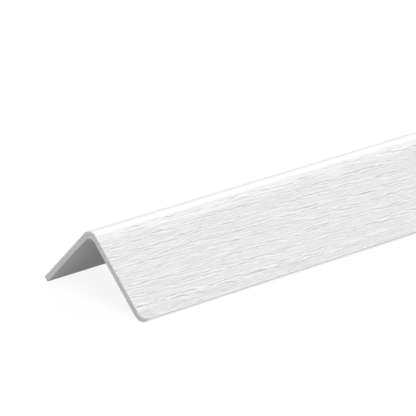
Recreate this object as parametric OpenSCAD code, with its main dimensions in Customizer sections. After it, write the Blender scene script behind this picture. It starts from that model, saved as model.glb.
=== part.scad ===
// Corner guard: one length of extruded angle with a rounded corner.
// One leg ends square. The other ends in a lip that flares outwards and thins to a rounded tip.
// It rests like a tent, on the foot of the plain leg and on the underside of the lip.
//
// The section is drawn with x down the plain leg and y down the lipped leg, both from the sharp
// corner where the two outer faces would meet. All sizes are in millimetres.

/* [Legs] */
// Width of the plain leg, from the sharp corner to its foot
plain_leg_w = 50.8; // [30:0.1:80]
// Width of the lipped leg, from the sharp corner to the lowest point of its lip
lipped_leg_w = 55.8; // [35:0.1:90]
// Thickness of both legs
wall = 3.175; // [2.2:0.025:4.5]
// Radius of the two edges of the plain leg's foot
foot_edge_r = 0.4; // [0.1:0.05:1]

/* [Corner] */
// Radius of the rounded corner outside
corner_r = 6.5; // [2:0.1:9]
// Radius of the hollow inside the corner
hollow_r = 4.7; // [1:0.1:8]

/* [Lip] */
// Radius of the bend along the underside of the lip
lip_bend_r = 6.75; // [5:0.05:7.7]
// How far the lip's tip stands proud of the outer face
lip_reach = 4.9; // [4:0.1:8]
// Radius of the lip's rounded tip
lip_tip_r = 0.3; // [0.15:0.05:0.6]

/* [Stock] */
// Length of the piece
stock_l = 1219; // [300:1:3660]

/* [Hidden] */
$fn = 96;

// Both bends of the lip are centred at the height where the straight part of the leg ends.
lip_start = lipped_leg_w - lip_bend_r;
// Centre of the bend along the underside, which runs on smoothly from the inner face
under_c = [wall - lip_bend_r, lip_start];
// Centre of the rounded tip, which touches the lip's lowest line
tip_c = [lip_tip_r - lip_reach, lipped_leg_w - lip_tip_r];
// The bend on the outer face runs on smoothly from the face above it. It ends a little under the
// top of the rounded tip, which so stands proud of it as a fine bead.
tip_bead = lip_tip_r / 10;
bend_run = lip_reach - lip_tip_r;
bend_drop = lip_bend_r - 2 * lip_tip_r + tip_bead;
face_bend_r = (pow(bend_run, 2) + pow(bend_drop, 2)) / (2 * bend_run);
face_c = [-face_bend_r, lip_start];

// Centres of the foot's inner and outer rounded edges
foot_in_c = [plain_leg_w - foot_edge_r, wall - foot_edge_r];
foot_out_c = [plain_leg_w - foot_edge_r, foot_edge_r];

// The plain leg leans by this angle from upright, so that the round of the foot's inner edge and
// the bend under the lip touch the same level floor.
across = foot_in_c - under_c;
lean = acos((lip_bend_r - foot_edge_r) / norm(across)) - atan2(-across.y, across.x);
// Which way the section's x and y run when it rests: how much of each goes down, and to the right
down = [cos(lean), sin(lean)];
right = [-sin(lean), cos(lean)];
// Height of the sharp corner above the floor
corner_h = under_c * down + lip_bend_r;
// How far the foot reaches to the left of the sharp corner, and the tip to the right
reach_left = foot_edge_r - foot_out_c * right;
reach_right = tip_c * right + lip_tip_r;

// The piece between a square corner and the round of radius r that fits in it
module corner_piece(r) {
    difference() {
        square(r);
        translate([r, r]) circle(r = r);
    }
}

// A leg that ends square, with its two edges rounded off
module plain_leg() {
    difference() {
        square([plain_leg_w, wall]);
        translate([plain_leg_w, 0]) mirror([1, 0]) corner_piece(foot_edge_r);
        translate([plain_leg_w, wall]) rotate(180) corner_piece(foot_edge_r);
    }
}

// The lip: a bend outwards that thins towards its rounded tip
module lip() {
    difference() {
        union() {
            intersection() {
                translate(under_c) circle(r = lip_bend_r);
                translate(under_c) square(lip_bend_r);
            }
            translate([tip_c.x, lip_start]) square([under_c.x - tip_c.x, lip_bend_r]);
        }
        translate(face_c) circle(r = face_bend_r);
    }
    translate(tip_c) circle(r = lip_tip_r);
}

// The leg that ends in the lip
module lipped_leg() {
    square([wall, lip_start]);
    lip();
}

// The whole section, with its corner rounded outside and filled a little inside
module section() {
    difference() {
        union() {
            plain_leg();
            lipped_leg();
            translate([wall, wall]) corner_piece(hollow_r);
        }
        corner_piece(corner_r);
    }
}

// The length of stock as it rests, centred over the origin with the floor at zero height
module corner_guard() {
    color("white")
        translate([(reach_left - reach_right) / 2, 0, corner_h])
            rotate([90, 90 + lean, 0])
                linear_extrude(height = stock_l, center = true) section();
}

corner_guard();
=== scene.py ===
"""Corner guard: the looks of one length of white rigid PVC angle.

The guard is one extruded piece. It rests like a tent on the foot of its plain leg and on the
underside of its lip. This file gives it the wood grain that a roller pressed into its outer
faces while they were warm, its smooth inner faces and its sawn ends, and puts it in a plain studio.

Sizes are in millimetres up to the moment that a mesh is made, and in metres from there on.
"""

import logging
from collections.abc import Sequence
from dataclasses import dataclass, field
from enum import Enum
from typing import Any

import bpy
import numpy as np
from mathutils import Matrix, Vector


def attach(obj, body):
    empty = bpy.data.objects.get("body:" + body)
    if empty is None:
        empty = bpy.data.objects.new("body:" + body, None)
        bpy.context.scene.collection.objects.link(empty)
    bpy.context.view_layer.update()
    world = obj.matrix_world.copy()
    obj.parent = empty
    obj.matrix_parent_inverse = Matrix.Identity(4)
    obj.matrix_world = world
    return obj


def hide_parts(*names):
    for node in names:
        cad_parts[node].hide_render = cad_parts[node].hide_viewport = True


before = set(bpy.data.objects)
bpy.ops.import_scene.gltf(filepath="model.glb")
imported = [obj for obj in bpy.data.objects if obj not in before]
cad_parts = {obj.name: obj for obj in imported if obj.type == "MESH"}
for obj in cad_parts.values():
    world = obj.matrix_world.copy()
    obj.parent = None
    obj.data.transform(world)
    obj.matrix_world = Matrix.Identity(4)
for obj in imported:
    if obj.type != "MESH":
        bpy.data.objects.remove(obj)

log = logging.getLogger("corner_guard")

MM = 0.001
WHITE = "#FFFFFF"
# Nearly all values of a noise texture lie between these
NOISE_SPAN = (0.3, 0.7)


class Finish(Enum):
    """What a stretch of the surface is finished as. The value is its material's place on the piece."""

    GRAIN = 0
    # A greyer copy of the plastic: painted shade on the faces that lie in shade
    BED = 1
    # A whiter copy of the plastic: painted light on the lip's shaded underside
    LIP = 2
    SAWN = 3


def linear(hex_colour: str) -> tuple[float, float, float, float]:
    """Turns an sRGB hex colour into the linear colour that a shader socket takes.

    Args:
        hex_colour: Six hex digits, with or without a leading hash sign.

    Returns:
        Red, green, blue and an alpha of one.
    """
    digits = hex_colour.lstrip("#")
    srgb = np.array([int(digits[i : i + 2], 16) for i in (0, 2, 4)]) / 255.0
    rgb = np.where(srgb <= 0.04045, srgb / 12.92, ((srgb + 0.055) / 1.055) ** 2.4)
    return (*map(float, rgb), 1.0)


def add_node(
    tree: bpy.types.NodeTree,
    kind: str,
    settings: dict[str, Any] | None = None,
    inputs: dict[int | str, Any] | Sequence[Any] = (),
) -> bpy.types.Node:
    """Adds one node to a tree, with its settings and what goes into it.

    Args:
        tree: The node tree that gets the node.
        kind: The node's type, as Blender names it after the word ShaderNode.
        settings: Properties of the node itself.
        inputs: What its inputs get, by their names or numbers or else in their order: a constant,
            an output socket to join to the input, or a node, which stands for its first output.

    Returns:
        The new node.
    """
    node = tree.nodes.new("ShaderNode" + kind)
    for name, value in (settings or {}).items():
        setattr(node, name, value)
    for name, value in inputs.items() if isinstance(inputs, dict) else enumerate(inputs):
        if isinstance(value, bpy.types.Node):
            value = value.outputs[0]
        if isinstance(value, bpy.types.NodeSocket):
            tree.links.new(value, node.inputs[name])
        else:
            node.inputs[name].default_value = value
    return node


def new_material(name: str) -> bpy.types.Material:
    """Makes a material of nodes that has none yet.

    Args:
        name: The material's name.

    Returns:
        The material.
    """
    material = bpy.data.materials.new(name)
    material.use_nodes = True
    material.node_tree.nodes.clear()
    return material


def add_object(name: str, data: bpy.types.ID) -> bpy.types.Object:
    """Puts a new object into the scene.

    Args:
        name: The object's name.
        data: Its mesh, lamp or camera.

    Returns:
        The object, at the origin.
    """
    added = bpy.data.objects.new(name, data)
    bpy.context.scene.collection.objects.link(added)
    return added


def smooth_step(x: np.ndarray) -> np.ndarray:
    """Runs from 0 to 1 as x does, level at both ends: x squared times three less twice x."""
    x = np.clip(x, 0.0, 1.0)
    return x * x * (3.0 - 2.0 * x)


def lattice_noise(
    rng: np.random.Generator, across: np.ndarray, along: np.ndarray,
    wave: tuple[float, float, float],
) -> np.ndarray:
    """Smooth noise: seeded values on a lattice, blended between its four nearest points.

    Args:
        rng: The seeded source of the lattice's values.
        across: Places across the face, in mm from zero up.
        along: Places along the length, in mm from zero up.
        wave: The noise's reach, and the lattice's pitch across and along in mm.

    Returns:
        The noise at each place, from less its reach to its reach.
    """
    reach, wide, long = wave
    u, v = across / wide + 1.0, along / long + 1.0
    rows, columns = int(u.max()) + 3, int(v.max()) + 3
    value = rng.uniform(-1.0, 1.0, (rows, columns))
    i = np.clip(np.floor(u).astype(int), 0, rows - 2)
    j = np.clip(np.floor(v).astype(int), 0, columns - 2)
    fu, fv = smooth_step(u - i), smooth_step(v - j)
    low = value[i, j] * (1 - fu) + value[i + 1, j] * fu
    high = value[i, j + 1] * (1 - fu) + value[i + 1, j + 1] * fu
    return reach * (low * (1 - fv) + high * fv)


@dataclass(frozen=True)
class Strokes:
    """One family of grain strokes: short grooves that lie in lanes along the length.

    Each lane is cut into cells, and most cells hold one stroke at a random place. Sizes are in mm.
    """

    # A lane's width and a cell's length. Then each stroke's length, half width and depth, from the
    # least to the greatest. The drift is how far a stroke runs across for each mm along, and the
    # share says how many of the cells hold a stroke
    lane: float
    cell: float
    length: tuple[float, float]
    half_width: tuple[float, float]
    depth: tuple[float, float]
    drift: tuple[float, float]
    share: float
    # How far a stroke may lie off the middle of its lane, and how far from end to end its places
    # along a cell may lie, as shares of the lane and of the cell
    stray: float = 0.4
    slide: float = 0.9
    # How far a stroke's middle may bow sideways, from side to side, as a share of the lane
    bow: float = 0.3
    # It starts and ends over these shares of its half length
    start: float = 0.18
    end: float = 0.35
    # How high the burrs stand, as a share of the groove's depth, and how many half widths out
    burr: float = 0.55
    burr_place: float = 1.8

    def cut(self, rng: np.random.Generator, across: np.ndarray, along: np.ndarray) -> np.ndarray:
        """Adds up the strokes near each place.

        A stroke is a bell-shaped groove with a low burr thrown up on each side. Along its length
        it starts sharply and ends more softly. Its centre line drifts across and bows a little.

        Args:
            rng: The seeded source of the strokes.
            across: Places across the faces, in mm.
            along: Places along the length, in mm.

        Returns:
            How far the surface lies above its mean at each place, in mm: below zero in a groove.
        """
        spare = 4
        lanes = int(across.max() / self.lane) + 2 * spare
        cells = int(along.max() / self.cell) + 2 * spare
        chance = rng.random((8, lanes, cells))
        shift = rng.random(lanes) * self.cell
        height = np.zeros_like(across)
        own_lane = np.floor(across / self.lane).astype(int) + spare
        for next_lane in (-1, 0, 1):
            lane = np.clip(own_lane + next_lane, 0, lanes - 1)
            run = along + shift[lane]
            own_cell = np.floor(run / self.cell).astype(int) + spare // 2
            for next_cell in (-1, 0, 1):
                cell = np.clip(own_cell + next_cell, 0, cells - 1)
                long, wide, deep, slanted, aside, ahead, there, bent = chance[:, lane, cell]
                length = self.length[0] + np.ptp(self.length) * long ** 2
                width = self.half_width[0] + np.ptp(self.half_width) * wide
                depth = self.depth[0] + np.ptp(self.depth) * deep
                drift = self.drift[0] + np.ptp(self.drift) * slanted
                centre_across = (lane - spare + 0.5 + 2.0 * self.stray * (aside - 0.5)) * self.lane
                centre_along = (cell - spare // 2 + 0.5 + self.slide * (ahead - 0.5)) * self.cell
                from_centre = run - centre_along
                part = 2.0 * from_centre / length
                bow = self.bow * (bent - 0.5) * self.lane * (1.0 - part * part)
                side = (across - centre_across - drift * from_centre - bow) / width
                fade = smooth_step((1.0 + part) / self.start) * smooth_step((1.0 - part) / self.end)
                groove = np.exp(-side * side)
                groove -= self.burr * np.exp(-((np.abs(side) - self.burr_place) ** 2))
                height -= np.where(there < self.share, depth * fade * groove, 0.0)
        return height


@dataclass(frozen=True)
class WoodGrain:
    """The grain that the roller pressed into the outer faces. Sizes are in mm."""

    seed: int = 11
    long_strokes: Strokes = Strokes(
        lane=1.425, cell=16.0, length=(16.0, 42.0), half_width=(0.24, 0.40),
        depth=(0.21, 0.38), drift=(0.0, 0.07), share=0.97, stray=0.22, burr=0.57,
    )
    short_strokes: Strokes = Strokes(
        lane=1.1, cell=6.0, length=(4.0, 12.0), half_width=(0.22, 0.34),
        depth=(0.05, 0.22), drift=(-0.02, 0.16), share=0.85,
    )
    # Both show this much between the rings, and this much more in the late wood of a ring
    long_show: tuple[float, float] = (0.18, 0.82)
    short_show: tuple[float, float] = (0.26, 0.68)
    # Along the lip the strokes lie close together, over a band this wide with an edge this soft
    lip_strokes: Strokes = Strokes(
        lane=0.95, cell=14.0, length=(12.0, 30.0), half_width=(0.22, 0.30),
        depth=(0.14, 0.34), drift=(0.0, 0.03), share=0.95, burr=0.15,
    )
    lip_band: float = 6.0
    lip_edge: float = 2.0
    # Each wave of the waver: how far it moves the grain, and its pitch across and along. The whole
    # is moved on by the margin, so that it stays above zero
    waver: tuple[tuple[float, float, float], ...] = (
        (1.20, 18.0, 110.0), (0.80, 14.0, 60.0), (0.35, 4.0, 21.0), (0.34, 2.2, 8.0), (0.26, 1.2, 3.0),
    )
    margin: float = 3.0
    # Growth rings lie this many lanes of long strokes apart. Their late wood lies this share of a
    # ring on, and stands out this much
    ring_lanes: int = 4
    ring_start: float = 0.25
    ring_contrast: float = 0.9
    # The rings show more or less by a noise of this reach, with a pitch across and along, and the
    # fibres between the strokes are another
    ring_show: tuple[float, float, float] = (0.20, 7.0, 30.0)
    fibre: tuple[float, float, float] = (0.03, 0.8, 6.0)
    # Along every stroke the depth comes and goes: by this share, with a pitch across and along
    broken: tuple[float, float, float] = (0.70, 0.9, 2.6)
    # The roller's teeth are no taller than this
    deepest: float = 0.36

    def height(self, across: np.ndarray, along: np.ndarray, lip: float) -> np.ndarray:
        """Works out the pressed relief as one field over both faces and the corner between them.

        The strokes are drawn in coordinates that waver together, as growth rings do. A cosine
        across the grain marks the dense late wood of each ring, where the strokes show most. Its
        top lies between two lanes, so that the long strokes run in pairs.

        Args:
            across: Distance over the outer faces from the foot's edge, in mm.
            along: Distance from the near end, in mm.
            lip: Distance across at which the lip's tip lies, in mm.

        Returns:
            How far the surface lies above its mean, in mm.
        """
        rng = np.random.default_rng(self.seed)
        bent = across.copy()
        for wave in self.waver:
            bent += lattice_noise(rng, across, along, wave)
        bent = np.maximum(bent + self.margin, 0.0)
        rings = bent / (self.ring_lanes * self.long_strokes.lane)
        show = 0.5 + lattice_noise(rng, bent, along, self.ring_show)
        late = self.ring_contrast * np.cos(2.0 * np.pi * (rings - self.ring_start))
        dense = smooth_step(show + late)
        by_lip = smooth_step(1.0 + (across - lip + self.lip_band) / self.lip_edge)
        least, more = self.long_show
        height = (least + more * dense) * (1.0 - by_lip) * self.long_strokes.cut(rng, bent, along)
        height += by_lip * self.lip_strokes.cut(rng, bent, along)
        least, more = self.short_show
        height += (least + more * dense) * self.short_strokes.cut(rng, bent, along)
        height *= 1.0 + lattice_noise(rng, bent, along, self.broken)
        height += lattice_noise(rng, bent, along, self.fibre)
        return self.deepest * np.tanh(height / self.deepest)


def stretched_noise(
    tree: bpy.types.NodeTree, place: bpy.types.Node, pitch: Sequence[float], detail: float = 2.0,
    roughness: float = 0.5, dimensions: str = "2D",
) -> bpy.types.Node:
    """Draws a noise that is stretched along the length.

    Args:
        tree: The material's nodes.
        place: The place on the surface.
        pitch: The noise's pitch across and along, in the same unit as the place.
        detail: How much finer noise is added.
        roughness: How strongly the finer noise shows.
        dimensions: Whether the noise is 2D or 3D.

    Returns:
        The noise, whose values lie about one half.
    """
    stretch = add_node(
        tree, "Mapping", inputs={"Vector": place, "Scale": (1.0 / pitch[0], 1.0 / pitch[1], 1.0)}
    )
    return add_node(
        tree, "TexNoise", {"noise_dimensions": dimensions},
        {"Vector": stretch, "Scale": 1.0, "Detail": detail, "Roughness": roughness},
    )


@dataclass(frozen=True)
class RigidPVC:
    """What the finishes share: rigid PVC, an opaque white plastic. Each draws its own surface."""

    name: str
    colour: str
    roughness: float
    # The relief that is too fine for the mesh: how deep it is, in mm, and how strongly it shows
    relief_depth: float
    relief_strength: float
    ior: float = 1.53

    def surface(self, tree: bpy.types.NodeTree) -> tuple[Any, Any, Any]:
        """Draws what is the finish's own.

        Args:
            tree: The material's nodes.

        Returns:
            The Mix node of the tint, the roughness as a node or a number, and the node of the
            relief, whose unit is the relief's depth.
        """
        raise NotImplementedError

    def build(self) -> bpy.types.Material:
        """Makes the material: plastic of the finish's tint and roughness, with its relief as bump.

        Returns:
            The material.
        """
        material = new_material(self.name)
        tree = material.node_tree
        tint, roughness, height = self.surface(tree)
        bump = add_node(tree, "Bump", inputs={
            "Strength": self.relief_strength, "Distance": self.relief_depth * MM, "Height": height,
        })
        plastic = add_node(tree, "BsdfPrincipled", inputs={
            "Base Color": tint.outputs[2], "Roughness": roughness, "IOR": self.ior, "Normal": bump,
        })
        add_node(tree, "OutputMaterial", inputs={"Surface": plastic})
        return material


@dataclass(frozen=True)
class PressedGrainPVC(RigidPVC):
    """Rigid PVC with a grain pressed in by a steel roller: white, with a soft sheen.

    The pressed faces are satin, painted a shade greyer in the grooves as painted shade and whiter
    along their burrs as a painted highlight. The rounded corner, which the roller hardly reaches,
    keeps the gloss of the die, and is painted whiter than the pressed faces as a painted sheen.
    """

    name: str = "rigid_pvc_pressed_grain"
    colour: str = "#EAEAEA"
    roughness: float = 0.60
    relief_depth: float = 0.11
    relief_strength: float = 1.0
    # The rounded corner is painted whiter than the pressed faces: a painted sheen
    corner_painted_sheen_colour: str = "#F3F3F3"
    corner_roughness: float = 0.28
    # The grooves' painted shade comes in where the painted relief shading falls below its value
    # here and is full at -1, and the burrs' painted highlight where it rises above its value and is
    # full at 1
    groove_painted_shade_colour: str = "#D5D5D5"
    groove_painted_shade_from: float = -0.15
    burr_painted_highlight_colour: str = "#FBFBFB"
    burr_painted_highlight_from: float = 0.1
    # Fibre dashes and a finer hatch between them, in mm: width and length, and the noise's values
    # at a groove's floor and at its brim. The hatch is this share as deep
    dash: tuple[float, float] = (0.8, 9.0)
    dash_edge: tuple[float, float] = (0.30, 0.46)
    hatch: tuple[float, float] = (0.6, 3.0)
    hatch_edge: tuple[float, float] = (0.30, 0.60)
    hatch_share: float = 0.6
    # They slant by this many degrees, and sway: how far, and the pitch across and along, in mm
    slant: float = 4.0
    sway: tuple[float, float, float] = (0.5, 2.4, 8.0)
    # Flecks between the fibres, in mm: width, length, and how strongly they tint. They show in the
    # same painted shade and painted highlight as the grooves and burrs
    fleck: tuple[float, float, float] = (0.75, 1.5, 0.22)
    # Strokes drawn where the mesh is too coarse for them, in mm: their spacing and their length.
    # Their grooves, and the low swells that they lie in: how far from the line they end, in
    # values of the noise, and their height. They are bump, and are painted into the tint too:
    # painted shade in their grooves and a painted highlight on their swells
    stroke: tuple[float, float] = (2.6, 55.0)
    stroke_groove: tuple[float, float] = (0.075, -1.6)
    stroke_swell: tuple[float, float] = (0.17, 0.7)
    # They come and go with this pitch, in mm, between these shares
    stroke_break: tuple[float, float] = (1.6, 7.0)
    stroke_show: tuple[float, float] = (0.35, 1.2)

    def surface(self, tree: bpy.types.NodeTree) -> tuple[Any, Any, Any]:
        """Draws fibres, flecks and strokes, and reads from the mesh how it is pressed.

        The mesh's painted relief shading runs from -1 on a groove's floor to 1 on a burr's top.
        Flecks break it up and the drawn strokes are added, and the sum sets the tint: painted shade
        in the grooves and a painted highlight on the burrs. Over the corner the tint is painted
        whiter as a sheen.

        Args:
            tree: The material's nodes.

        Returns:
            The tint, the roughness and the relief.
        """
        surface = add_node(tree, "UVMap", {"uv_map": "surface"})
        place = add_node(tree, "Mapping", inputs={
            "Vector": surface, "Scale": (1.0 / MM, 1.0 / MM, 1.0),
            "Rotation": (0.0, 0.0, np.radians(self.slant)),
        })
        satin, painted_relief_shading, drawn = (
            add_node(tree, "Attribute", {"attribute_name": name}).outputs["Fac"]
            for name in ("satin", "painted_relief_shading", "drawn")
        )
        # A noise shifts the place across the grain, so that what is drawn there sways
        reach, *pitch = self.sway
        noise = stretched_noise(tree, place, pitch, roughness=0.6)
        across = add_node(tree, "MapRange", {"clamp": False}, (noise, 0.0, 1.0, -reach, reach))
        shift = add_node(tree, "CombineXYZ", inputs=(across,))
        swayed = add_node(tree, "VectorMath", {"operation": "ADD"}, (place, shift))
        # Dashes and hatch are noise, cut off so that its low parts are grooves with a floor at 0
        dashes, hatch = (
            add_node(
                tree, "MapRange", {"interpolation_type": "SMOOTHSTEP"},
                (stretched_noise(tree, swayed, pitch), *edge, 0.0, 1.0),
            )
            for pitch, edge in ((self.dash, self.dash_edge), (self.hatch, self.hatch_edge))
        )
        fine = add_node(
            tree, "Math", {"operation": "MULTIPLY_ADD"}, (hatch, self.hatch_share, dashes)
        )
        fibres = add_node(tree, "Math", {"operation": "MULTIPLY"}, (fine, satin))
        lines = self.strokes(tree, swayed)
        strokes = add_node(tree, "Math", {"operation": "MULTIPLY"}, (lines, drawn))
        height = add_node(tree, "Math", {"operation": "ADD"}, (fibres, strokes))
        # Flecks are noise, darker and lighter about zero by their strength
        *pitch, strength = self.fleck
        noise = stretched_noise(tree, place, pitch, detail=1.0)
        flecks = add_node(tree, "MapRange", inputs=(noise, *NOISE_SPAN, -strength, strength))
        flecked = add_node(tree, "Math", {"operation": "MULTIPLY_ADD"}, (flecks, satin, painted_relief_shading))
        whole = add_node(tree, "Math", {"operation": "ADD"}, (flecked, strokes))
        # The corner's painted sheen, then the grooves' painted shade and the burrs' painted highlight
        tint = add_node(tree, "Mix", {"data_type": "RGBA"}, {
            0: satin, 6: linear(self.corner_painted_sheen_colour), 7: linear(self.colour),
        })
        for start, full, colour in (
            (self.groove_painted_shade_from, -1.0, self.groove_painted_shade_colour), (self.burr_painted_highlight_from, 1.0, self.burr_painted_highlight_colour),
        ):
            share = add_node(tree, "MapRange", inputs=(whole, start, full, 0.0, 1.0))
            tint = add_node(
                tree, "Mix", {"data_type": "RGBA"}, {0: share, 6: tint.outputs[2], 7: linear(colour)}
            )
        gloss = add_node(
            tree, "MapRange", inputs=(satin, 0.0, 1.0, self.corner_roughness, self.roughness)
        )
        return tint, gloss, height

    def strokes(self, tree: bpy.types.NodeTree, place: bpy.types.Node) -> bpy.types.Node:
        """Draws long strokes: the lines along which a stretched noise stands at one half.

        Across a line the height is a narrow groove in a low swell, so that a burr is left on each
        side. A second noise makes each line come and go.

        Args:
            tree: The material's nodes.
            place: The place on the surface, in mm.

        Returns:
            A height from about -1 on a groove's floor over 0 between the strokes to 0.5 on a burr.
        """
        level = stretched_noise(tree, place, self.stroke, detail=1.2)
        above = add_node(tree, "Math", {"operation": "SUBTRACT"}, (level, 0.5))
        off = add_node(tree, "Math", {"operation": "ABSOLUTE"}, (above,))
        parts = [
            add_node(
                tree, "MapRange", {"interpolation_type": "SMOOTHSTEP"}, (off, 0.0, end, height, 0.0)
            )
            for end, height in (self.stroke_groove, self.stroke_swell)
        ]
        line = add_node(tree, "Math", {"operation": "ADD"}, parts)
        coming = stretched_noise(tree, place, self.stroke_break)
        share = add_node(tree, "MapRange", inputs=(coming, *NOISE_SPAN, *self.stroke_show))
        return add_node(tree, "Math", {"operation": "MULTIPLY"}, (line, share))


@dataclass(frozen=True)
class DrawnPVC(RigidPVC):
    """Rigid PVC as it left the die: smoother than the grain, with faint lines along the length.

    The inner faces, which lie against the wall, are dull, and painted greyer than the white
    plastic as painted shade. The lip's copy is glossy, and painted as white as the rounded
    corner as painted light, for the lip's shaded underside and tip.
    """

    name: str = "rigid_pvc_drawn_smooth_painted_shade"
    # Greyer than the white plastic: painted shade for the faces that lie in shade
    colour: str = "#B8B8B8"
    roughness: float = 0.62
    relief_depth: float = 0.05
    relief_strength: float = 0.3
    line_colour: str = "#ADADAD"
    # The spacing and the length of the die's lines, in mm
    line: tuple[float, float] = (1.0, 500.0)

    def surface(self, tree: bpy.types.NodeTree) -> tuple[Any, Any, Any]:
        """Draws the die's lines: a noise that is stretched over much of the length.

        Args:
            tree: The material's nodes.

        Returns:
            The tint, the roughness and the relief.
        """
        place = add_node(tree, "UVMap", {"uv_map": "surface"})
        pitch = [size * MM for size in self.line]
        lines = stretched_noise(tree, place, pitch, dimensions="3D")
        tint = add_node(tree, "Mix", {"data_type": "RGBA"}, {
            0: lines, 6: linear(self.line_colour), 7: linear(self.colour),
        })
        return tint, self.roughness, lines


@dataclass(frozen=True)
class SawnPVC(RigidPVC):
    """Rigid PVC cut by a fine circular saw: dull, with faint curved tooth marks and a mottle.

    The marks are drawn further apart than a fine blade leaves them, so that they show.
    """

    name: str = "rigid_pvc_sawn"
    colour: str = "#F0F0F0"
    roughness: float = 0.62
    relief_depth: float = 0.08
    relief_strength: float = 0.5
    mark_colour: str = "#D5D5D5"
    # The blade's marks are arcs of this radius, this far apart, and waver by this much. The
    # saw's spindle stands this far to the left, one blade's radius below the floor
    blade_radius: float = 125.0
    mark_step: float = 0.8
    mark_waver: float = 1.5
    spindle_left: float = 40.0
    # The mottle's pitch, in mm, and the noise's values where it is darkest and lightest
    mottle: float = 1.0
    mottle_edge: tuple[float, float] = (0.35, 0.65)

    def surface(self, tree: bpy.types.NodeTree) -> tuple[Any, Any, Any]:
        """Draws the marks, as rings round the saw's spindle, and the mottle.

        Args:
            tree: The material's nodes.

        Returns:
            The tint, the roughness and the relief.
        """
        place = add_node(tree, "TexCoord").outputs["Object"]
        spindle = add_node(tree, "Mapping", inputs={
            "Vector": place, "Location": (self.spindle_left * MM, 0.0, self.blade_radius * MM),
        })
        # Ring waves repeat every 2 pi over 20 in the wave texture's own units
        marks = add_node(
            tree, "TexWave", {"wave_type": "RINGS", "rings_direction": "Y", "wave_profile": "SIN"},
            {
                "Vector": spindle, "Scale": 2.0 * np.pi / 20.0 / (self.mark_step * MM),
                "Distortion": self.mark_waver, "Detail": 2.0, "Detail Scale": 1.0,
            },
        )
        speckle = add_node(tree, "TexNoise", inputs={
            "Vector": place, "Scale": 1.0 / (self.mottle * MM), "Detail": 4.0, "Roughness": 0.6,
        })
        height = add_node(
            tree, "Math", {"operation": "MULTIPLY"}, (marks.outputs["Fac"], speckle)
        )
        share = add_node(tree, "MapRange", inputs=(speckle, *self.mottle_edge, 0.0, 1.0))
        tint = add_node(tree, "Mix", {"data_type": "RGBA"}, {
            0: share, 6: linear(self.mark_colour), 7: linear(self.colour),
        })
        return tint, self.roughness, height


@dataclass(frozen=True)
class Stretch:
    """One smooth stretch of the section's outline, with the direction that points out of the solid.

    Attributes:
        points: The stretch's points but for its last, in mm.
        normals: The outward direction at each point.
        finish: What the stretch is finished as.
    """

    points: np.ndarray
    normals: np.ndarray
    finish: Finish


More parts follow.
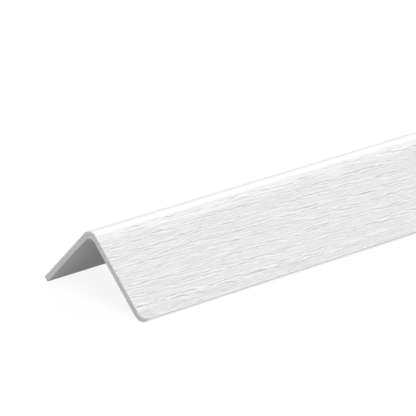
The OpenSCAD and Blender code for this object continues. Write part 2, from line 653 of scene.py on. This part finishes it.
@dataclass
class GuardSection:
    """The guard's section, with x down the plain leg and y down the lipped leg from the corner.

    The sizes are those of the solid, in mm.
    """

    plain_leg: float = 50.8
    lipped_leg: float = 55.8
    wall: float = 3.175
    foot_edge: float = 0.4
    corner_radius: float = 6.5
    hollow_radius: float = 4.7
    lip_bend: float = 6.75
    lip_reach: float = 4.9
    tip_radius: float = 0.3
    # How far the bend on the outer face ends under the top of the round tip, as a share of its radius
    tip_bead: float = 0.1
    # The tip's round has the lip's glossy finish, painted light, as far as the first of these
    # angles, in degrees, and the bend under the lip as far as the second. What is left of the tip's
    # round has the greyer finish, and shows as a fine line of painted shade
    tip_turn: float = 150.0
    under_turn: float = 45.0
    # Spacing of the points over the grained faces: the plain leg's, and the corner's and lipped
    # leg's, which are seen from closest
    plain_step: float = 0.50
    grain_step: float = 0.25
    # How many points the rest has, all even numbers: on a narrow flat, on a broad flat or a small
    # round, on each half of the bend under the lip, and in the hollow
    flat_points: int = 2
    round_points: int = 4
    bend_points: int = 10
    hollow_points: int = 14

    @property
    def under_centre(self) -> np.ndarray:
        """The centre of the bend along the underside of the lip."""
        return np.array([self.wall - self.lip_bend, self.lipped_leg - self.lip_bend])

    @property
    def tip_centre(self) -> np.ndarray:
        """The centre of the lip's rounded tip."""
        return np.array([self.tip_radius - self.lip_reach, self.lipped_leg - self.tip_radius])

    @property
    def bend_centre(self) -> np.ndarray:
        """The centre of the bend on the outer face."""
        return np.array([-self.face_bend, self.under_centre[1]])

    @property
    def corner_middle(self) -> float:
        """How far over the outer faces the corner's middle lies from the foot's edge."""
        return self.plain_leg - self.foot_edge - self.corner_radius * (1.0 - np.pi / 4.0)

    @property
    def face_bend(self) -> float:
        """The radius of the bend on the outer face.

        A circle that starts level and ends a run out and a drop down has the radius run squared
        plus drop squared, over twice the run.

        Returns:
            The radius, in mm.
        """
        run = self.lip_reach - self.tip_radius
        drop = self.lip_bend - (2.0 - self.tip_bead) * self.tip_radius
        return (run * run + drop * drop) / (2.0 * run)

    @staticmethod
    def line(
        start: tuple[float, float], end: tuple[float, float], finish: Finish, count: int
    ) -> Stretch:
        """A straight stretch: a share of the way from its start to its end.

        The outline is walked with the solid on its right, so the way turned left points out.

        Args:
            start: Where it starts.
            end: Where it ends.
            finish: What it is finished as.
            count: How many points it has.

        Returns:
            The stretch.
        """
        share = np.linspace(0.0, 1.0, count, endpoint=False)[:, None]
        first, last = np.array(start), np.array(end)
        way = (last - first) / np.linalg.norm(last - first)
        normals = np.tile([-way[1], way[0]], (count, 1))
        return Stretch(first + share * (last - first), normals, finish)

    @staticmethod
    def arc(
        centre: np.ndarray | tuple[float, float], radius: float, turn: tuple[float, float],
        finish: Finish, count: int, hollow: bool = False,
    ) -> Stretch:
        """A round stretch: its centre, plus its radius at angles from the first to the last.

        Args:
            centre: The arc's centre.
            radius: The arc's radius.
            turn: The first and last angle, in degrees.
            finish: What it is finished as.
            count: How many points it has.
            hollow: True where the solid lies outside the round.

        Returns:
            The stretch.
        """
        angle = np.radians(np.linspace(*turn, count, endpoint=False))
        outward = np.column_stack([np.cos(angle), np.sin(angle)])
        normals = -outward if hollow else outward
        return Stretch(np.array(centre) + radius * outward, normals, finish)

    def crossing(self) -> tuple[float, float]:
        """Finds where the outer bend meets the round of the tip.

        Two circles meet where the cosine rule puts them: the angle at a centre, between the line
        to the other centre and the line to the meeting point, has the cosine (d squared plus this
        radius squared, less the other squared) over twice d times this radius.

        Returns:
            The angle of the meeting point as the outer bend sees it, and as the tip sees it.
        """
        apart = self.tip_centre - self.bend_centre
        d = float(np.linalg.norm(apart))
        toward_tip = np.degrees(np.arctan2(apart[1], apart[0]))
        big, small = self.face_bend, self.tip_radius
        at_bend = np.degrees(np.arccos((d * d + big * big - small * small) / (2 * d * big)))
        at_tip = np.degrees(np.arccos((d * d + small * small - big * big) / (2 * d * small)))
        return float(toward_tip - at_bend), float(toward_tip + 180.0 + at_tip)

    def outline(self) -> list[Stretch]:
        """Walks round the section once, from the foot up the plain leg and down the lipped leg.

        Each stretch has an even number of points, so that the outline can be thinned to every
        second one.

        Returns:
            The stretches in their order.
        """
        wall, foot, corner, tip_r = self.wall, self.foot_edge, self.corner_radius, self.tip_radius
        under, tip, foot_line = self.under_centre, self.tip_centre, self.plain_leg - self.foot_edge
        few, some, bend = self.flat_points, self.round_points, self.bend_points
        # The bed finish is painted shade, a greyer copy; the lip finish is painted light, a whiter one
        grain, painted_shade_bed, lip = Finish.GRAIN, Finish.BED, Finish.LIP
        bend_end, tip_start = self.crossing()
        inner = wall + self.hollow_radius

        def columns(length: float, step: float = self.grain_step) -> int:
            """How many columns of points a grained stretch of that length takes: an even number."""
            return 2 * int(round(length / step / 2.0))

        return [
            self.line((self.plain_leg, wall - foot), (self.plain_leg, foot), painted_shade_bed, few),
            self.arc((foot_line, foot), foot, (0.0, -90.0), painted_shade_bed, some),
            self.line(
                (foot_line, 0.0), (corner, 0.0), grain, columns(foot_line - corner, self.plain_step)
            ),
            self.arc((corner, corner), corner, (270.0, 180.0), grain, columns(corner * np.pi / 2.0)),
            self.line((0.0, corner), (0.0, under[1]), grain, columns(under[1] - corner)),
            self.arc(
                self.bend_centre, self.face_bend, (0.0, bend_end), grain,
                columns(self.face_bend * np.radians(bend_end)), hollow=True,
            ),
            self.arc(tip, tip_r, (tip_start, self.tip_turn), lip, some),
            self.arc(tip, tip_r, (self.tip_turn, 90.0), painted_shade_bed, some),
            self.line((tip[0], self.lipped_leg), (under[0], self.lipped_leg), lip, few),
            self.arc(under, self.lip_bend, (90.0, self.under_turn), lip, bend),
            self.arc(under, self.lip_bend, (self.under_turn, 0.0), painted_shade_bed, bend),
            self.line((wall, under[1]), (wall, inner), painted_shade_bed, some),
            self.arc(
                (inner, inner), self.hollow_radius, (180.0, 270.0), painted_shade_bed, self.hollow_points, hollow=True
            ),
            self.line((inner, wall), (foot_line, wall), painted_shade_bed, some),
            self.arc((foot_line, wall - foot), foot, (90.0, 0.0), painted_shade_bed, some),
        ]


@dataclass
class CornerGuard:
    """The whole guard: the section carried along the length, with the grain pressed in."""

    section: GuardSection = field(default_factory=GuardSection)
    grain: WoodGrain = field(default_factory=WoodGrain)
    length: float = 1219.0
    # Points lie closer over the near stretch, which is seen from closest. Past it the rows lie
    # further apart, and each has every second point only. There the mesh carries the mean of the
    # relief, taken at a few places up to this share of a row's step to either side, and the
    # material draws the single strokes
    near_stretch: float = 230.0
    near_step: float = 1.25
    far_step: float = 9.0
    far_samples: int = 5
    far_spread: float = 0.4
    # Before the near stretch's end the strokes pass from the mesh to the material over this
    # length, up to the share that the mesh keeps there
    handover: float = 40.0
    handover_left: float = 0.35
    # The saw leaves the edges of a cut end very slightly broken
    edge_break: float = 0.05
    # The mean of the relief lies this deep, so that few of its ridges reach the solid's surface
    press_depth: float = 0.10
    # The whole skin lies this far inside the solid's true rounds, which the solid's facets cut
    skin_depth: float = 0.012
    # A groove's floor this much below the mean has its full painted shade, and a burr's top this
    # much above it its full painted highlight
    painted_shade_depth: float = 0.22
    painted_highlight_height: float = 0.08
    # The roller hardly reaches the rounded corner: the grain fades in between these distances from
    # the corner's middle, from this share. It runs out over the last stretch before the foot and
    # the lip's tip
    corner_fade: tuple[float, float] = (3.8, 6.0)
    corner_share: float = 0.10
    run_out: float = 0.6
    # The corner's sheen, both its gloss and its painted whiter colour, lies this much nearer to
    # the lipped leg, and passes more slowly into the satin of the pressed faces
    sheen_shift: float = 2.5
    sheen_fade: tuple[float, float] = (2.8, 7.5)
    # The grain's edge along the corner is ragged: how far it strays, and its pitch across and
    # along. That sets in before the corner's middle, by this share of the distance at which the
    # grain starts to fade in, and is full one such distance on
    ragged: tuple[float, float, float] = (2.8, 1.2, 7.0)
    ragged_start: float = 0.3

    def lean(self) -> tuple[np.ndarray, np.ndarray, float, float]:
        """Works out how the section lies when its foot and its lip rest on one level floor.

        The floor is a line that touches the round of the foot's inner edge and the bend under the
        lip. The angle between the line of their centres and the floor's upright has the
        difference of the two radii over the centres' distance as its cosine.

        Returns:
            The section's downward and rightward directions, the height of its sharp corner, and
            how far it shifts sideways to be centred over the origin.
        """
        s = self.section
        foot_in = np.array([s.plain_leg - s.foot_edge, s.wall - s.foot_edge])
        foot_out = np.array([s.plain_leg - s.foot_edge, s.foot_edge])
        across = foot_in - s.under_centre
        angle = np.arccos((s.lip_bend - s.foot_edge) / np.linalg.norm(across))
        angle -= np.arctan2(-across[1], across[0])
        down = np.array([np.cos(angle), np.sin(angle)])
        right = np.array([-np.sin(angle), np.cos(angle)])
        height = float(s.under_centre @ down) + s.lip_bend
        left_reach = s.foot_edge - float(foot_out @ right)
        right_reach = float(s.tip_centre @ right) + s.tip_radius
        return down, right, height, (left_reach - right_reach) / 2.0

    def rows(self) -> tuple[np.ndarray, np.ndarray]:
        """Distances of the rows from the near end, in mm, between the two broken edges.

        Returns:
            The rows of the near stretch, and those past it.
        """
        start, end = self.edge_break, self.length - self.edge_break
        near = np.arange(start, self.near_stretch, self.near_step)
        count = int(round((end - near[-1]) / self.far_step)) + 1
        return near, np.linspace(near[-1], end, count)[1:]

    def build(self) -> bpy.types.Object:
        """Makes the guard: a closed skin with a flat face on each end, dressed in its finishes.

        Each point is the outline's point, moved along the outline's normal by the grain's height.
        At both ends a last row lies on the cut, drawn in by the broken edge.

        Returns:
            The guard as an object at the origin, with its place in its mesh.
        """
        stretches = self.section.outline()
        outline = np.concatenate([s.points for s in stretches])
        normals = np.concatenate([s.normals for s in stretches])
        finish = np.concatenate([np.full(len(s.points), s.finish.value) for s in stretches])
        gap = np.roll(outline, -1, axis=0) - outline
        walked = np.concatenate([[0.0], np.cumsum(np.linalg.norm(gap, axis=1))])
        grained = finish == Finish.GRAIN.value
        near, far = self.rows()
        across = walked[:-1] - walked[np.argmax(grained)]
        relief, satin, painted_relief_shading, drawn = self.surface_fields(across, grained, near, far)

        along = np.concatenate([[0.0], near, far, [self.length]])
        drawn_in = np.zeros((len(along), 1))
        drawn_in[[0, -1]] = self.edge_break
        place = outline + normals * (relief - drawn_in - self.skin_depth)[:, :, None]
        down, right, height, shift = self.lean()
        turn, reach = np.meshgrid(walked[:-1], along)
        xyz = [shift + place @ right, reach - self.length / 2.0, height - place @ down]

        near_rows = len(near) + 1
        far_rows = len(along) - near_rows
        points = self.thinned(np.stack(xyz, axis=-1), near_rows) * MM
        surface = self.thinned(np.stack([turn, reach], axis=-1), near_rows) * MM
        faces = self.skin(len(outline), near_rows, far_rows)
        finishes = np.concatenate([np.tile(finish, near_rows - 1), np.tile(finish[::2], far_rows)])
        guard = self.to_object(points, faces, finishes, surface, walked[-1] * MM)
        for name, values in (("satin", satin), ("painted_relief_shading", painted_relief_shading), ("drawn", drawn)):
            layer = guard.data.attributes.new(name, "FLOAT", "POINT")
            layer.data.foreach_set("value", self.thinned(values, near_rows).astype(np.float32))
        self.dress(guard)
        return guard

    @staticmethod
    def dress(guard: bpy.types.Object) -> None:
        """Gives the guard a material for each finish, and says what it stands for.

        Args:
            guard: The guard's object.
        """
        finishes = {
            Finish.GRAIN: PressedGrainPVC(),
            Finish.BED: DrawnPVC(),
            # A whiter, glossier copy for the lip: painted light on its shaded underside and tip
            Finish.LIP: DrawnPVC(
                name="rigid_pvc_drawn_polished_painted_light", colour="#FAFAFA", line_colour="#F1F1F1",
                roughness=0.30,
            ),
            Finish.SAWN: SawnPVC(),
        }
        for finish in Finish:
            guard.data.materials.append(finishes[finish].build())
        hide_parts("corner_guard")
        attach(guard, "root")

    def surface_fields(
        self, across: np.ndarray, grained: np.ndarray, near: np.ndarray, far: np.ndarray
    ) -> tuple[np.ndarray, ...]:
        """Works out what differs from place to place, for every row and column of points.

        Args:
            across: Each column's distance over the outer faces from the foot's edge, in mm.
            grained: True for the columns of the grained faces.
            near: The near rows' distances from the near end, in mm.
            far: The far rows' distances.

        Returns:
            The relief in mm, the share of satin in the gloss and in the corner's painted sheen, the
            painted relief shading from -1 for painted shade in a groove to 1 for a painted highlight on
            a burr, and the share of the strokes that the material draws. Each has one row for each row
            of points, with the first and the last row repeated for the two cuts.
        """
        around = np.linspace(-self.far_spread, self.far_spread, self.far_samples) * self.far_step
        samples = np.clip(far[:, None] + around, 0.0, self.length).ravel()
        grid_across, grid_along = np.meshgrid(across, np.concatenate([near, samples]))
        lip = across[grained].max()
        grid_across = np.clip(grid_across, 0.0, lip)
        relief = self.grain.height(grid_across, grid_along, lip)
        grain_middle, sheen_middle = self.smooth_middles(grid_across, grid_along)
        pressed = self.pressed(across, grained, grain_middle, self.corner_fade, self.corner_share)
        satin = self.pressed(across, grained, sheen_middle, self.sheen_fade, 0.0)
        # The painted relief shading: painted shade in the grooves, a painted highlight on the burrs
        full = np.where(relief < 0.0, self.painted_shade_depth, self.painted_highlight_height)
        painted_relief_shading = np.clip(relief / full, -1.0, 1.0) * pressed

        far_share = smooth_step((near - self.near_stretch) / self.handover + 1.0)
        relief, painted_relief_shading = (self.evened(values, far_share) for values in (relief, painted_relief_shading))
        none = np.zeros_like(far_share)
        pressed, satin = (self.evened(values, none) for values in (pressed, satin))
        relief = np.minimum(relief - self.press_depth, 0.0) * pressed
        drawn = np.concatenate([far_share, np.ones(len(far))])[:, None] * pressed
        fields = (relief, satin, painted_relief_shading, drawn)
        return tuple(np.concatenate([values[:1], values, values[-1:]]) for values in fields)

    def smooth_middles(
        self, across: np.ndarray, along: np.ndarray
    ) -> tuple[np.ndarray, np.ndarray]:
        """Works out where the smooth stretch along the corner has its middle, as each place sees it.

        A noise shifts it on the lipped leg's side, so that its edge there is ragged. On the plain
        leg's side the grain's edge strays only away from the corner and the sheen's edge not at
        all, so that the ridge stays straight.

        Args:
            across: Distance over the outer faces from the foot's edge, in mm.
            along: Distance from the near end, in mm.

        Returns:
            The middle of the stretch without grain, and that of the sheen.
        """
        rng = np.random.default_rng(self.grain.seed)
        stray = lattice_noise(rng, across, along, self.ragged)
        middle = self.section.corner_middle
        lipped_side = smooth_step(self.ragged_start + (across - middle) / self.corner_fade[0])
        sheen = middle + lipped_side * stray
        return sheen - (1.0 - lipped_side) * np.abs(stray), sheen + self.sheen_shift

    def evened(self, values: np.ndarray, far_share: np.ndarray) -> np.ndarray:
        """Evens a field out where the mesh is too coarse for single strokes.

        Over the near rows the field is weakened by the share that the material draws. Each far
        row is the mean of its samples, and of three neighbouring columns weighed 1, 2 and 1.

        Args:
            values: The field, with one row for each near row and then each far row's samples.
            far_share: The share of the strokes that the material draws, for each near row.

        Returns:
            The field with one row for each row of the mesh.
        """
        count = len(far_share)
        near = values[:count] * (1.0 - (1.0 - self.handover_left) * far_share[:, None])
        far = values[count:].reshape(-1, self.far_samples, values.shape[1]).mean(axis=1)
        far = 0.25 * np.roll(far, 1, axis=1) + 0.5 * far + 0.25 * np.roll(far, -1, axis=1)
        return np.concatenate([near, far])

    @staticmethod
    def thinned(values: np.ndarray, near_rows: int) -> np.ndarray:
        """Lines up a grid's values as one for each point of the mesh.

        Args:
            values: A value, or a few, for each row and column.
            near_rows: How many rows keep every column. The others keep every second one.

        Returns:
            The values, point by point.
        """
        rest = values.shape[2:]
        return np.concatenate([
            values[:near_rows].reshape(-1, *rest), values[near_rows:, ::2].reshape(-1, *rest)
        ])

    @staticmethod
    def skin(columns: int, near_rows: int, far_rows: int) -> list[np.ndarray]:
        """Lists the skin's faces by their points, each from its first column on.

        Between two rows of a kind there are quads. Between the last near row and the first far
        row, which has half as many points, there are faces of five points: three and two.

        Args:
            columns: How many points a near row has.
            near_rows: How many rows keep every column.
            far_rows: How many keep every second one.

        Returns:
            The faces of the near stretch, of the seam and past it, and the two ends.
        """
        def quads(grid: np.ndarray) -> np.ndarray:
            """The four points of each quad, from the points' numbers in closed rows."""
            after = np.roll(grid, -1, axis=1)
            return np.stack([grid[:-1], after[:-1], after[1:], grid[1:]], axis=-1).reshape(-1, 4)

        near = np.arange(near_rows * columns).reshape(near_rows, columns)
        far = near.size + np.arange(far_rows * columns // 2).reshape(far_rows, -1)
        even, odd = near[-1, ::2], near[-1, 1::2]
        fives = np.stack([even, odd, np.roll(even, -1), np.roll(far[0], -1), far[0]], axis=-1)
        return [quads(near), fives, quads(far), near[:1, ::-1], far[-1:]]

    def pressed(
        self, across: np.ndarray, grained: np.ndarray, middle: np.ndarray,
        fade: tuple[float, float], least: float,
    ) -> np.ndarray:
        """Works out how fully the roller pressed each place.

        It is 1 on the flats and the lip, and small over the rounded corner, with a smooth step
        between, and it runs out to 0 at the edges of the grained faces.

        Args:
            across: Each column's distance over the outer faces from the foot's edge, in mm.
            grained: True for the columns of the grained faces.
            middle: Distance across at which the smooth stretch has its middle, in mm, as seen
                from each place of each row.
            fade: Distances from that middle where the step starts and ends, in mm.
            least: The share over the smooth stretch.

        Returns:
            A share from 0 to 1 for each place.
        """
        start, end = fade
        share = smooth_step((np.abs(across - middle) - start) / (end - start))
        share = least + (1.0 - least) * share
        last = across[grained].max()
        edges = smooth_step(across / self.run_out) * smooth_step((last - across) / self.run_out)
        return np.where(grained, share * edges, 0.0)

    @staticmethod
    def to_object(
        points: np.ndarray, faces: list[np.ndarray], finish: np.ndarray, surface: np.ndarray,
        girth: float,
    ) -> bpy.types.Object:
        """Fills a mesh from whole arrays and marks each face's finish.

        The mesh's own map, named surface, holds the distance walked round the outline and the
        distance from the near end, both in metres. Where a face closes the round, its last points
        are one girth further on than the outline's first. The sawn ends are mapped as they lie.

        Args:
            points: Every point, in metres.
            faces: The faces by their points, one array for each kind, with the two ends last.
            finish: The finish of each face of the skin.
            surface: Each point's place on the map.
            girth: The distance once round the outline, in metres.

        Returns:
            The new object.
        """
        mesh = bpy.data.meshes.new("corner_guard_profile")
        loops = np.concatenate([kind.ravel() for kind in faces])
        sizes = np.concatenate([np.full(len(kind), kind.shape[1]) for kind in faces])
        starts = np.cumsum(sizes) - sizes
        finishes = np.concatenate([finish, [Finish.SAWN.value] * 2])
        mesh.vertices.add(len(points))
        mesh.loops.add(len(loops))
        mesh.polygons.add(len(sizes))
        for part, name, values in (
            (mesh.vertices, "co", points.ravel()),
            (mesh.loops, "vertex_index", loops),
            (mesh.polygons, "loop_start", starts),
            (mesh.polygons, "loop_total", sizes),
            (mesh.polygons, "material_index", finishes),
            (mesh.polygons, "use_smooth", np.arange(len(sizes)) < len(finish)),
        ):
            part.foreach_set(name, values)
        mesh.update(calc_edges=True)

        place = surface[loops]
        first = np.repeat(place[starts, 0], sizes)
        place[:, 0] += np.where(place[:, 0] < first, girth, 0.0)
        ends = sum(kind.size for kind in faces[-2:])
        place[-ends:] = points[loops[-ends:]][:, [0, 2]]
        mesh.uv_layers.new(name="surface").data.foreach_set("uv", place.ravel())
        mesh.validate()
        return add_object("corner_guard_profile", mesh)


@dataclass(frozen=True)
class Softbox:
    """A large far lamp. At a strength of 1 it lights a white surface that faces it to white."""

    name: str
    strength: float
    comes_from: tuple[float, float, float]
    # Its width as seen from the object, in degrees
    width: float

    def build(self) -> None:
        """Makes the lamp as a broad sun, whose strength is pi times as large in Blender's units."""
        lamp = bpy.data.lights.new(self.name, "SUN")
        lamp.energy = self.strength * np.pi
        lamp.angle = np.radians(self.width)
        holder = add_object(self.name, lamp)
        holder.rotation_mode = "QUATERNION"
        holder.rotation_quaternion = Vector(self.comes_from).to_track_quat("Z", "Y")


@dataclass
class Studio:
    """A plain white floor, soft light from all round and the camera at the photo's viewing angle."""

    # The camera, in degrees and mm: it looks at a point on the lipped leg, near the near end
    azimuth: float = 48.13
    elevation: float = 20.22
    roll: float = 0.22
    distance: float = 1853.0
    aim: tuple[float, float, float] = (2.18, -538.0, 32.42)
    lens: float = 322.0
    sensor: float = 36.0
    # How far the camera sees, in metres
    sight: float = 200.0
    # The first softbox lights the faces, the next two put a sheen along the rounded corner, and
    # the last lights the plain leg's side
    softboxes: tuple[Softbox, ...] = (
        Softbox("studio_main_softbox", 0.665, (0.61, -0.17, 0.774), 36.0),
        Softbox("studio_rear_softbox", 0.205, (-0.12, 0.63, 0.77), 32.0),
        Softbox("studio_back_softbox", 0.115, (-0.42, 0.63, 0.65), 26.0),
        Softbox("studio_left_fill", 0.30, (-0.985, -0.05, 0.14), 14.0),
    )
    sky: float = 0.095
    # To the eye the floor is a light table: its glow, and the share of the light that its paper
    # sends back, add up to white where nothing shades it
    table_colour: str = "#626262"
    table_glow: float = 0.90
    # The floor lights the object as plain white paper would. A small part of that is glow, so that
    # it reaches under the object too
    paper_colour: str = "#D9D9D9"
    paper_glow: float = 0.16
    # Half the floor's width, in metres
    floor_half: float = 60.0

    def build(self) -> None:
        """Makes the floor, the world, the lamps and the camera."""
        self.build_floor()
        self.build_world()
        for softbox in self.softboxes:
            softbox.build()
        self.build_camera()

    @staticmethod
    def seen_directly(tree: bpy.types.NodeTree) -> bpy.types.Node:
        """Tells the camera's rays, and those from it by way of gloss or glass, from the others.

        Args:
            tree: The nodes of a material or the world.

        Returns:
            A node that gives 1 for those rays and 0 for the others.
        """
        path = add_node(tree, "LightPath")
        seen = path.outputs["Is Camera Ray"]
        for ray in ("Is Glossy Ray", "Is Transmission Ray"):
            seen = add_node(tree, "Math", {"operation": "MAXIMUM"}, (seen, path.outputs[ray]))
        return seen

    @staticmethod
    def glowing_paper(tree: bpy.types.NodeTree, colour: str, glow: float) -> bpy.types.Node:
        """Makes paper that also gives off light: what it sends back plus its glow.

        Args:
            tree: The floor's nodes.
            colour: The share of the light that it sends back.
            glow: How strongly it glows.

        Returns:
            The sum of the two.
        """
        paper = add_node(tree, "BsdfDiffuse", inputs={"Color": linear(colour)})
        light = add_node(tree, "Emission", inputs={"Color": linear(WHITE), "Strength": glow})
        return add_node(tree, "AddShader", inputs=(paper, light))

    def build_floor(self) -> None:
        """Makes the floor: a light table to the eye, and near enough plain paper to the object.

        The table's glow fills in most of the object's shadow but not all of it.
        """
        half = self.floor_half
        mesh = bpy.data.meshes.new("studio_floor")
        corners = [(-half, -half, 0.0), (half, -half, 0.0), (half, half, 0.0), (-half, half, 0.0)]
        mesh.from_pydata(corners, [], [(0, 1, 2, 3)])
        floor = add_object("studio_floor", mesh)
        material = new_material("studio_floor_paper")
        tree = material.node_tree
        table = self.glowing_paper(tree, self.table_colour, self.table_glow)
        thrown = self.glowing_paper(tree, self.paper_colour, self.paper_glow)
        both = add_node(tree, "MixShader", inputs=(self.seen_directly(tree), thrown, table))
        add_node(tree, "OutputMaterial", inputs={"Surface": both})
        mesh.materials.append(material)

    def build_world(self) -> None:
        """Makes the world: an even soft sky in its light, and white where it is seen."""
        world = bpy.data.worlds.new("studio_world")
        bpy.context.scene.world = world
        world.use_nodes = True
        tree = world.node_tree
        tree.nodes.clear()
        sky, seen = (
            add_node(tree, "Background", inputs={"Color": linear(WHITE), "Strength": strength})
            for strength in (self.sky, 1.0)
        )
        both = add_node(tree, "MixShader", inputs=(self.seen_directly(tree), sky, seen))
        add_node(tree, "OutputWorld", inputs={"Surface": both})

    def build_camera(self) -> None:
        """Makes the camera: back from its aim by its distance, turned by its three angles."""
        data = bpy.data.cameras.new("studio_camera")
        data.lens = self.lens
        data.sensor_width = self.sensor
        data.clip_end = self.sight
        camera = add_object("studio_camera", data)
        turn = (
            Matrix.Rotation(np.radians(self.azimuth), 4, "Z")
            @ Matrix.Rotation(np.radians(90.0 - self.elevation), 4, "X")
            @ Matrix.Rotation(np.radians(self.roll), 4, "Z")
        )
        back = turn @ Vector((0.0, 0.0, self.distance * MM))
        camera.matrix_world = Matrix.Translation(Vector(self.aim) * MM + back) @ turn
        bpy.context.scene.camera = camera


def main() -> None:
    logging.basicConfig(level=logging.INFO, format="%(name)s: %(message)s")
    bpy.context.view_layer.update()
    bpy.context.scene.view_settings.view_transform = "Standard"

    guard = CornerGuard().build()
    triangles = sum(len(p.vertices) - 2 for p in guard.data.polygons)
    log.info("%s: %d triangles", guard.name, triangles)

    Studio().build()
    log.info("studio: floor, world, softboxes and camera")


if __name__ == "__main__":
    main()
